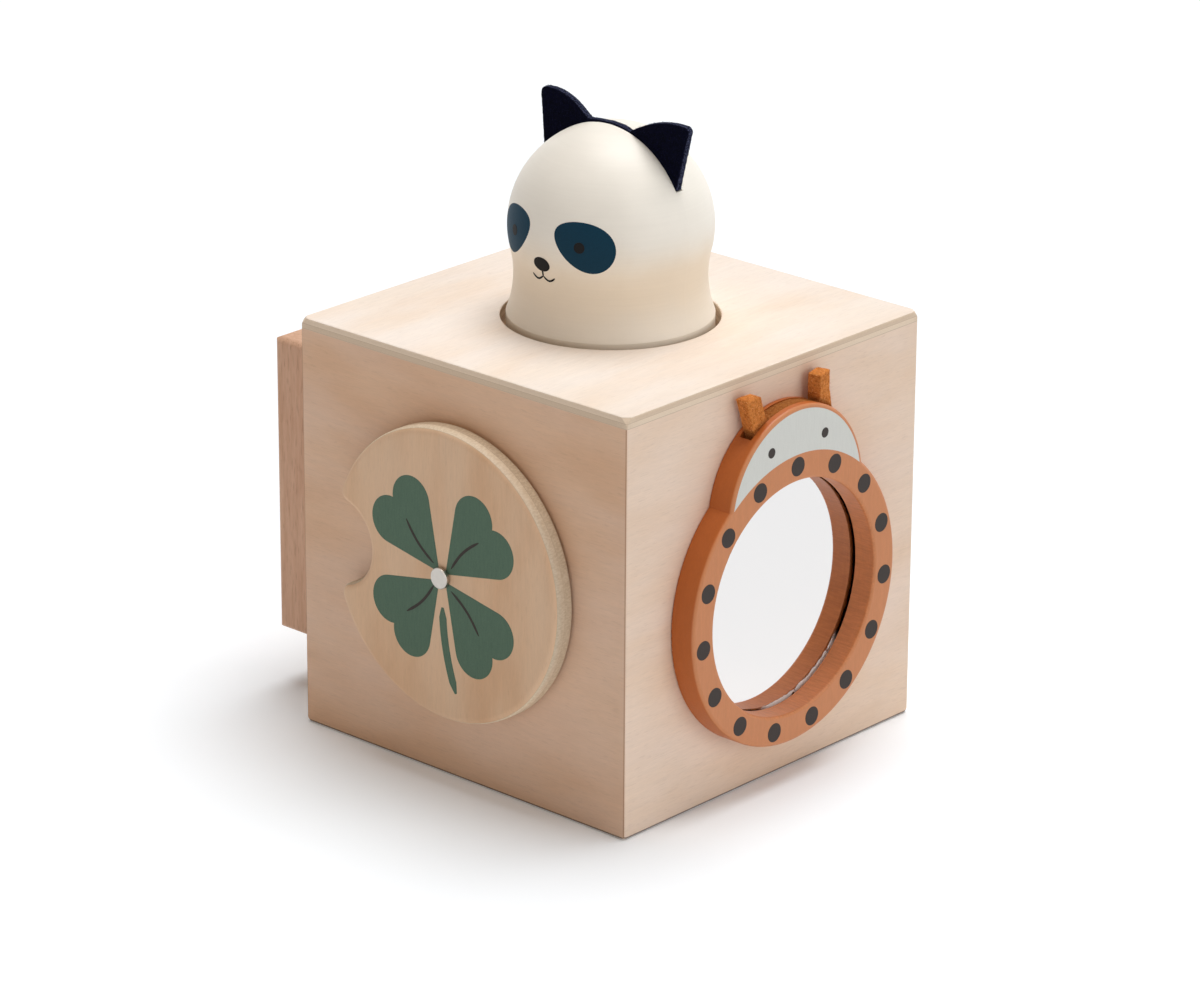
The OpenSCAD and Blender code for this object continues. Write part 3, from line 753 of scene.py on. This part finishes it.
def leaf_outline():
    """Heart-shaped leaf along +u: a pointed foot near the centre, two round lobes at its end."""
    lobe = (LEAF_REACH - LEAF_LOBE, LEAF_LOBE_OUT)
    foot = (LEAF_NECK, 0.0)
    slope = math.atan2(lobe[1], lobe[0] - foot[0])
    start = slope + math.pi / 2 + math.asin(LEAF_LOBE / math.dist(lobe, foot))
    end = -math.asin(lobe[1] / LEAF_LOBE)
    upper = [foot]
    for share in even_shares(LEAF_POINTS):
        upper.append(on_circle(lobe, LEAF_LOBE, start + (end - start) * share))
    lower = [(u, -v) for u, v in reversed(upper[1:-1])]
    return upper + lower


def print_clover():
    """Leaves and a stem in green, and the leaves' ribs in a dark line."""
    green = ink("ink_green", srgb(88, 113, 95), "Z", seed=0.91)
    dark = ink("ink_dark", srgb(62, 55, 51), "Z", seed=0.93)
    outline = leaf_outline()
    rib = [(RIB_FROM + RIB_LONG * share, RIB_BOW * math.sin(math.pi * share))
           for share in even_shares(RIB_STEPS)]
    leaves, ribs = [], []
    for turn in even_turns(LEAF_COUNT):
        angle = LEAF_FROM + turn
        leaves.append(blob(turned((LEAF_MIDDLE, 0.0), angle), [turned(p, angle) for p in outline]))
        ribs.append(ribbon([turned(p, angle) for p in rib], RIB_W))
    stem = [(STEM_SWEEP * share ** 2, -STEM_FROM - STEM_LONG * share) for share in even_shares(STEM_STEPS)]
    leaves.append(ribbon(stem, STEM_W))
    film("spinner_print", leaves, on_disc(0), green, "spinner")
    film("spinner_print_lines", ribs, on_disc(1), dark, "spinner")


# Printed dots and crescent on the mirror frame
DOT_COUNT = 15
DOT_R = 3.4 * MM
DOT_RING_R = 47.5 * MM
CRESCENT_INSET = 1.5 * MM
CRESCENT_FOOT_R = 51.8 * MM
CRESCENT_STEPS = 64
CRESCENT_LAYER = -0.5
EYE_R = 1.8 * MM
EYE_ACROSS = 13.8 * MM
EYE_UP = 56 * MM
RING_MIDDLE = (RING_CENTRE.y, RING_CENTRE.z)


def on_frame(layer):
    """Puts (u, v) points on the mirror frame's face."""
    def place(u, v):
        return (FRAME_FRONT + film_rise(layer), u, v)
    return place


def crescent():
    """Grid between a circle round the ring and a smaller one inside the dome's edge."""
    rise = CROWN_CENTRE.z - RING_CENTRE.z
    crown_middle = (RING_MIDDLE[0], RING_MIDDLE[1] + rise)
    crown_r = CROWN_R - CRESCENT_INSET
    meet = (rise ** 2 + CRESCENT_FOOT_R ** 2 - crown_r ** 2) / (2 * rise)
    across = math.sqrt(CRESCENT_FOOT_R ** 2 - meet ** 2)
    foot_turn = math.atan2(meet, across)
    crown_turn = math.atan2(meet - rise, across)
    inner, outer = [], []
    for share in even_shares(CRESCENT_STEPS):
        inner.append(on_circle(RING_MIDDLE, CRESCENT_FOOT_R, foot_turn + (math.pi - 2 * foot_turn) * share))
        outer.append(on_circle(crown_middle, crown_r, crown_turn + (math.pi - 2 * crown_turn) * share))
    return [inner, outer], False


def print_mirror_frame():
    """Dots round the ring and eyes in charcoal, on a pale grey crescent."""
    charcoal = ink("ink_charcoal", srgb(64, 57, 54), "Z", seed=0.95)
    grey = ink("ink_grey", srgb(216, 216, 210), "Z", seed=0.97, shows=0.05)
    dots = []
    for turn in even_turns(DOT_COUNT):
        dots.append(disc_patch(on_circle(RING_MIDDLE, DOT_RING_R, math.pi / 2 + turn), DOT_R))
    for side in (-1, 1):
        dots.append(disc_patch((RING_MIDDLE[0] + side * EYE_ACROSS, RING_MIDDLE[1] + EYE_UP), EYE_R))
    film("mirror_print_crescent", [crescent()], on_frame(CRESCENT_LAYER), grey, "box")
    film("mirror_print_dots", dots, on_frame(0), charcoal, "box")


# Mirror, silvered on its back, so that its face lies deep under the ring
MIRROR_FACE = 0.35 * MM
MIRROR_WELL_R = 44 * MM
MIRROR_POINTS = 128


def make_mirror():
    """Round sheet with a flat well and a rim that is as thick as the CAD sheet."""
    thick = GLASS_HIGH.x - GLASS_LOW.x
    rim_r = GLASS_HIGH.y - RING_CENTRE.y
    profile = [(0.0, MIRROR_FACE), (MIRROR_WELL_R, MIRROR_FACE), (MIRROR_WELL_R, thick),
               (rim_r, thick), (rim_r, 0.0), (0.0, 0.0)]
    shape = bmesh.new()
    rings = []
    for radius, rise in profile:
        circle = [on_circle(RING_MIDDLE, radius, turn) for turn in even_turns(MIRROR_POINTS)]
        rings.append([shape.verts.new((GLASS_LOW.x + rise, y, z)) for y, z in circle])
    join_rings(shape, rings)
    mesh = new_mesh("mirror_sheet", shape)
    piece = new_piece("mirror_sheet", mesh, mirror_glass("mirror_acrylic"), "box")
    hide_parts("mirror_glass")


# Printed face on the pop-up head
PATCH_ACROSS = 16.5 * MM
PATCH_UP = 2.5 * MM
PATCH_LONG = 11.5 * MM
PATCH_HIGH = 8.2 * MM
PATCH_TILT = math.radians(24)
PATCH_TAPER = 0.22
PATCH_RINGS = 8
PUPIL_R = 1.9 * MM
PUPIL_ACROSS = 0.92 * PATCH_ACROSS
PUPIL_DROP = 0.6 * MM
PUPIL_RINGS = 3
NOSE_W = 3.6 * MM
NOSE_H = 2.6 * MM
NOSE_UP = -6.5 * MM
NOSE_RINGS = 4
STALK_FROM = 0.6 * NOSE_H
STALK_LONG = 3 * MM
STALK_STEPS = 6
MOUTH_W = 5.2 * MM
MOUTH_DROP = 4.4 * MM
MOUTH_DIP = 1.5 * MM
MOUTH_STEPS = 10
MOUTH_LINE_W = 0.7 * MM


def egg(centre, long, high, tilt=0.0, taper=0.0, points=48):
    """Tilted oval that narrows towards one end."""
    outline = []
    for turn in even_turns(points):
        oval = (long * math.cos(turn), high * math.sin(turn) * (1 + taper * math.cos(turn)))
        u, v = turned(oval, tilt)
        outline.append((centre[0] + u, centre[1] + v))
    return outline


def on_head(skin, layer):
    """Puts (u, v) points on the head's skin: u round it from its front, v up from the dome's centre."""
    def place(u, v):
        turn = u / HEAD_R
        outwards = Vector((math.sin(turn), -math.cos(turn), 0))
        level = HEAD_CENTRE + Vector((0, 0, HEAD_R * math.sin(v / HEAD_R)))
        spot, normal, _, _ = skin.ray_cast(level + 2 * HEAD_R * outwards, -outwards)
        return spot + normal * film_rise(layer)
    return place


def print_face():
    """Teal eye patches, and pupils, a nose and a mouth in black."""
    teal = ink("ink_teal", srgb(4, 50, 70), "X", seed=0.99)
    black = ink("ink_black", srgb(20, 18, 18), "X", seed=1.01)
    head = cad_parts["popup_head"].data
    skin = BVHTree.FromPolygons([v.co for v in head.vertices], [p.vertices for p in head.polygons])
    patches, marks = [], []
    for side in (-1, 1):
        middle = (side * PATCH_ACROSS, PATCH_UP)
        outline = egg(middle, PATCH_LONG, PATCH_HIGH, -side * PATCH_TILT, side * PATCH_TAPER)
        patches.append(blob(middle, outline, PATCH_RINGS))
        marks.append(disc_patch((side * PUPIL_ACROSS, PATCH_UP - PUPIL_DROP), PUPIL_R, PUPIL_RINGS))
        mouth = [(side * MOUTH_W * share, NOSE_UP - MOUTH_DROP - MOUTH_DIP * math.sin(math.pi * share))
                 for share in even_shares(MOUTH_STEPS)]
        marks.append(ribbon(mouth, MOUTH_LINE_W))
    nose = (0.0, NOSE_UP)
    marks.append(blob(nose, egg(nose, NOSE_W, NOSE_H), NOSE_RINGS))
    stalk = [(0.0, NOSE_UP - STALK_FROM - STALK_LONG * share) for share in even_shares(STALK_STEPS)]
    marks.append(ribbon(stalk, MOUTH_LINE_W))
    film("head_print_patches", patches, on_head(skin, 0), teal, "popup")
    film("head_print_marks", marks, on_head(skin, 1), black, "popup")


# Felt: its mesh, the unevenness of its face and its loose fibres
FELT_VOXEL = 0.42 * MM
FELT_SMOOTH = 0.5
FELT_SMOOTH_PASSES = 3
FELT_FINE_RATE = 1500
FELT_FINE_SHARE = 0.6
FELT_BROAD_RATE = 260
FELT_BROAD_SHARE = 0.4
FELT_BURIED = 0.3 * MM
FIBRE_R = 0.03 * MM
FIBRE_LEAST = 0.35 * MM
FIBRE_MOST = 1.0 * MM
FIBRE_SPREAD = 0.9
FIBRE_SIDES = 3

# Felt tabs above the mirror: the one towards -Y leans, the other is twisted
TAB_SWELL = 0.2 * MM
TAB_FIBRES = 1400
TAB_W = 7.3 * MM
TAB_INNER = TAB_HIGH.y - TAB_W
TAB_BLEND = 2 * MM
TAB_AXIS = Vector(((TAB_LOW.x + TAB_HIGH.x) / 2, TAB_HIGH.y - TAB_W / 2, 0))
TAB_ROOT_SHIFT = 2.2 * MM
LEAN = 2.6 * MM
LEAN_FROM = TAB_HIGH.z - 14 * MM
TWIST = math.radians(15)
TWIST_SHIFT = 0.8 * MM

# Felt ears on the head: moves along X of an ear's inner foot, outer foot and tip
LEFT_EAR_MOVES = (-3.0 * MM, -1.2 * MM, 0.6 * MM)
RIGHT_EAR_MOVES = (0.0, -1.0 * MM, 1.0 * MM)
EAR_SWELL = 0.12 * MM
EAR_FIBRES = 1600
EAR_INNER = 8 * MM
EAR_OUTER = 31 * MM
EAR_FOOT = EAR_HIGH.z - 28 * MM
STRIP_PROUD = 0.6 * MM
SINK = 1.6 * MM
SINK_FROM = EAR_HIGH.z - 20 * MM
SINK_INNER = 0.75 * EAR_INNER
SINK_OUTER = 1.75 * EAR_INNER


def settled(piece):
    """Replaces a piece's mesh by what its modifiers make of it."""
    bpy.context.view_layer.update()
    graph = bpy.context.evaluated_depsgraph_get()
    mesh = bpy.data.meshes.new_from_object(piece.evaluated_get(graph))
    piece.modifiers.clear()
    piece.data = mesh
    return mesh


def add_fibre(shape, root, heading, reach):
    """One tapered hair."""
    side = heading.orthogonal().normalized() * FIBRE_R
    up = heading.cross(side)
    low = [shape.verts.new(root + side * math.cos(turn) + up * math.sin(turn))
           for turn in even_turns(FIBRE_SIDES)]
    tip = shape.verts.new(root + heading * reach)
    shape.faces.new(low[::-1])
    for k in range(FIBRE_SIDES):
        shape.faces.new((low[k], low[(k + 1) % FIBRE_SIDES], tip))


def unevenness(place, seed):
    """How far the felt's face stands out at a point, from -1 to 1."""
    fine = noise.noise(place * FELT_FINE_RATE)
    broad = noise.noise(place * FELT_BROAD_RATE + Vector((seed, 0, 0)))
    return FELT_FINE_SHARE * fine + FELT_BROAD_SHARE * broad


def felt_piece(name, node, body, material, swell, fibres, shows, bend, seed):
    """Soft felt in the place of a CAD node: rounded edges, an uneven face, loose fibres and a bend."""
    piece = new_piece(name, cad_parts[node].data.copy(), material, body)
    remesh = piece.modifiers.new("remesh", "REMESH")
    remesh.mode = "VOXEL"
    remesh.voxel_size = FELT_VOXEL
    smooth = piece.modifiers.new("smooth", "SMOOTH")
    smooth.factor = FELT_SMOOTH
    smooth.iterations = FELT_SMOOTH_PASSES
    mesh = settled(piece)
    shape = bmesh.new()
    shape.from_mesh(mesh)
    shape.normal_update()
    moves = [vert.normal * swell * unevenness(vert.co, seed) for vert in shape.verts]
    for vert, move in zip(shape.verts, moves):
        vert.co = bend(vert.co + move)
    shape.normal_update()
    draw = random.Random(seed)
    faces = [face for face in shape.faces if shows(face.calc_center_median())]
    for face in draw.choices(faces, k=fibres):
        spread = Vector((draw.uniform(-1, 1), draw.uniform(-1, 1), draw.uniform(-1, 1)))
        heading = (face.normal + FIBRE_SPREAD * spread).normalized()
        add_fibre(shape, face.calc_center_median(), heading, draw.uniform(FIBRE_LEAST, FIBRE_MOST))
    for face in shape.faces:
        face.smooth = True
    shape.to_mesh(mesh)
    shape.free()
    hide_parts(node)


def share_between(value, low, high):
    """Share from 0 to 1 of the way from low to high."""
    return min(max((value - low) / (high - low), 0), 1)


def above_head(place):
    """Whether felt at a point shows above the head's dome."""
    return (place - HEAD_CENTRE).length > HEAD_R - FELT_BURIED


def above_crown(place):
    """Whether felt at a point shows above the mirror frame's dome."""
    return math.hypot(place.y - CROWN_CENTRE.y, place.z - CROWN_CENTRE.z) > CROWN_R - FELT_BURIED


def ears_lean(place):
    """Leans each of the head's ears, lifts the strip between them and sinks the right ear."""
    inner, outer, tip = RIGHT_EAR_MOVES if place.x > 0 else LEFT_EAR_MOVES
    out = share_between(abs(place.x), EAR_INNER, EAR_OUTER)
    rise = share_between(place.z, EAR_FOOT, EAR_HIGH.z)
    move = inner + (outer + (tip - outer) * rise - inner) * out
    sink = SINK * share_between(place.z, SINK_FROM, EAR_HIGH.z)
    sink *= share_between(place.x, SINK_INNER, SINK_OUTER)
    return place + Vector((move * min(abs(place.x) / EAR_INNER, 1), 0, STRIP_PROUD * (1 - out) - sink))


def tabs_bend(place):
    """Leans one of the mirror's tabs and twists the other, from their roots up. The twist ends halfway."""
    on_tab = share_between(abs(place.y), TAB_INNER - TAB_BLEND, TAB_INNER)
    share = on_tab * share_between(place.z, LEAN_FROM, TAB_HIGH.z)
    if place.y < 0:
        return place + Vector((0, TAB_ROOT_SHIFT * (on_tab - share) - LEAN * share, 0))
    turn = min(2 * share, 1)
    twisted = Matrix.Rotation(TWIST * turn, 3, "Z") @ (place - TAB_AXIS) + TAB_AXIS
    return twisted - Vector((0, TWIST_SHIFT * turn, 0))


def make_felt():
    """The head's navy ears and the mirror's rust tabs."""
    cut = ((EAR_HIGH.y - EAR_LOW.y) / 2, srgb(74, 78, 104))
    navy = felt("felt_navy", srgb(2, 3, 14), srgb(5, 6, 26), srgb(26, 29, 58), sheen=0.06, seed=0.3, cut=cut)
    rust = felt("felt_rust", srgb(180, 100, 42), srgb(212, 131, 65), srgb(238, 172, 110), sheen=0.25,
                seed=0.6, groove=(CROWN_CENTRE, CROWN_R))
    felt_piece("felt_head_ears", "head_ears", "popup", navy, EAR_SWELL, EAR_FIBRES,
               above_head, ears_lean, seed=3)
    felt_piece("felt_mirror_ears", "mirror_ears", "box", rust, TAB_SWELL, TAB_FIBRES,
               above_crown, tabs_bend, seed=7)


# Spring
WIRE_D = 1.8 * MM
SPRING_TURNS = 9
SPRING_STEPS = 48
SPRING_SIDES = 12
SPRING_END_RISE = 2.4 * MM


def make_spring():
    """Round-wire coil with close end turns."""
    low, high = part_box("spring")
    radius = (high.x - low.x - WIRE_D) / 2
    start, end = low.z + WIRE_D / 2, high.z - WIRE_D / 2
    pitch = (end - start - 2 * SPRING_END_RISE) / (SPRING_TURNS - 2)
    shape = bmesh.new()
    rings = []
    for i in range(SPRING_TURNS * SPRING_STEPS + 1):
        turns = i / SPRING_STEPS
        end_turns = min(turns, 1) + max(turns - SPRING_TURNS + 1, 0)
        rise = start + end_turns * SPRING_END_RISE + (turns - end_turns) * pitch
        out = Vector((math.cos(math.tau * turns), math.sin(math.tau * turns), 0))
        rings.append([])
        for around in even_turns(SPRING_SIDES):
            across, up = on_circle((radius, rise), WIRE_D / 2, around)
            rings[-1].append(shape.verts.new(out * across + Vector((0, 0, up))))
    join_rings(shape, rings)
    for face in shape.faces:
        face.smooth = True
    shape.faces.new(rings[0])
    shape.faces.new(rings[-1][::-1])
    mesh = new_mesh("spring_coil", shape)
    wire = metal("spring_wire", srgb(178, 178, 176), "Z", roughness=0.3)
    piece = new_piece("spring_coil", mesh, wire, "box")
    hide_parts("spring")
    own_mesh(piece)


def dress_frame():
    """Materials of the CAD nodes that show as they are. A veneer has a tan, a pale and a wash tint."""
    # The front's tints are darker and warmer than the walls' as painted shade, and the top's are paler as
    # painted light, for one and the same plywood.
    wall = (srgb(233, 204, 178), srgb(237, 211, 188), srgb(238, 217, 201))
    front = (srgb(221, 179, 145), srgb(227, 188, 156), srgb(231, 200, 178))
    top = (srgb(241, 221, 202), srgb(244, 228, 212), srgb(246, 236, 228))
    disc = (srgb(219, 176, 138), srgb(228, 189, 153), srgb(230, 199, 169))
    flange_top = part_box("head_flange")[1].z
    dress("front_panel", plywood("ply_front", "Y", -HALF, "X", front, seed=0.11, seam=True, foot=True))
    dress("mirror_panel", plywood("ply_mirror_side", "X", HALF, "Y", wall, seed=0.23, foot=True))
    dress("rear_panel", plywood("ply_rear", "Y", HALF, "X", wall, seed=0.37, seam=True, foot=True))
    dress("block_panel", plywood("ply_block_side", "X", -HALF, "Y", wall, seed=0.41, foot=True))
    dress("top_panel", plywood("ply_top", "Z", BOX_TOP, "Y", top, seed=0.59))
    dress("base_panel", plywood("ply_base", "Z", 0.0, "X", wall, seed=0.67))
    dress("spinner_disc", disc_plywood("ply_disc", disc, seed=0.73))
    dress("head_flange", plywood("ply_flange", "Z", flange_top, "Y", wall, seed=0.83))
    dress("side_block", beech("beech_block", "Z", seed=0.19))
    dress("guide_post", beech("beech_post", "Z", seed=0.29))
    # The second terracotta is the painted shade of the frame's edges.
    terracotta = (srgb(203, 131, 84), srgb(184, 98, 41))
    # The second cream is the painted shade and warm bounce of the neck's hollow.
    cream = (srgb(249, 243, 232), srgb(243, 226, 202))
    dress("mirror_frame", frame_paint("paint_terracotta", *terracotta, seed=0.31))
    dress("popup_head", turned_paint("paint_cream", *cream))
    zinc = metal("zinc_steel", srgb(194, 188, 180), "Y", roughness=0.32)
    for node in ("pivot_pin", "pivot_washer", "pivot_nut", "frame_screws", "block_screws", "flange_screws"):
        dress(node, zinc)
    dress("spinner_washer", plastic("nylon_natural", srgb(232, 230, 222)))


def seen_rays(n):
    """1 for rays from the camera and for those seen in gloss or through glass."""
    path = n.add("ShaderNodeLightPath", {}).outputs
    seen = n.math("MAXIMUM", path["Is Camera Ray"], path["Is Glossy Ray"])
    return n.math("MAXIMUM", seen, path["Is Transmission Ray"])


def make_stage():
    """A plain pale floor that keeps the shadow, white to the eye away from it."""
    mesh = bpy.data.meshes.new("floor")
    corners = ((-1, -1), (1, -1), (1, 1), (-1, 1))
    points = [(x * FLOOR_REACH, y * FLOOR_REACH, -FLOOR_SUNK) for x, y in corners]
    mesh.from_pydata(points, [], [(0, 1, 2, 3)])
    floor = bpy.data.objects.new("floor", mesh)
    bpy.context.scene.collection.objects.link(floor)
    material, n, shader = new_material("floor_white")
    shader.inputs["Base Color"].default_value = FLOOR_ALBEDO
    shader.inputs["Roughness"].default_value = FLOOR_ROUGHNESS
    shader.inputs["Specular IOR Level"].default_value = 0.0
    shader.inputs["Emission Color"].default_value = WHITE
    n.feed(shader.inputs["Emission Strength"], n.math("MULTIPLY", seen_rays(n), FLOOR_SEEN))
    mesh.materials.append(material)


def make_world():
    """White to the eye, a plain soft and slightly warm level for everything else."""
    world = bpy.data.worlds.new("studio")
    bpy.context.scene.world = world
    world.use_nodes = True
    n = Nodes(world.node_tree)
    shader = world.node_tree.nodes["Background"]
    seen = seen_rays(n)
    n.feed(shader.inputs["Color"], n.mix(seen, AMBIENT_TINT, WHITE))
    n.feed(shader.inputs["Strength"], n.span(seen, AMBIENT, 1.0))


def wide_light(name, source, strength, spread, tint=(1.0, 1.0, 1.0)):
    """A wide even light from one direction."""
    light = bpy.data.lights.new(name, "SUN")
    light.energy = strength
    light.color = tint
    light.angle = math.radians(spread)
    lamp = bpy.data.objects.new(name, light)
    lamp.rotation_euler = (-Vector(source)).to_track_quat("-Z", "Y").to_euler()
    bpy.context.scene.collection.objects.link(lamp)


def make_lights():
    """A high key light, one from the right, a weak warm one from the left, and the world."""
    wide_light("key", KEY_FROM, KEY_STRENGTH, KEY_SPREAD)
    wide_light("right", RIGHT_FROM, RIGHT_STRENGTH, RIGHT_SPREAD)
    wide_light("left", LEFT_FROM, LEFT_STRENGTH, LEFT_SPREAD, LEFT_TINT)
    make_world()


def make_camera():
    """A camera that looks down at the corner between the disc and the mirror."""
    azimuth, elevation, roll = (math.radians(a) for a in (CAMERA_AZIMUTH, CAMERA_ELEVATION, CAMERA_ROLL))
    back = Vector((math.sin(azimuth) * math.cos(elevation), -math.cos(azimuth) * math.cos(elevation),
                   math.sin(elevation)))
    right = Vector((math.cos(azimuth), math.sin(azimuth), 0))
    up = back.cross(right)
    across = right * math.cos(roll) + up * math.sin(roll)
    upright = up * math.cos(roll) - right * math.sin(roll)
    axes = Matrix((across, upright, back)).transposed().to_4x4()
    data = bpy.data.cameras.new("camera")
    data.lens = CAMERA_LENS
    data.sensor_width = CAMERA_SENSOR
    camera = bpy.data.objects.new("camera", data)
    camera.matrix_world = Matrix.Translation(CAMERA_PLACE) @ axes
    bpy.context.scene.collection.objects.link(camera)
    bpy.context.scene.camera = camera


make_camera()
make_lights()
make_stage()
dress_frame()
print_clover()
print_mirror_frame()
print_face()
make_mirror()
make_felt()
make_spring()

view = bpy.context.scene.view_settings
view.view_transform = "Standard"
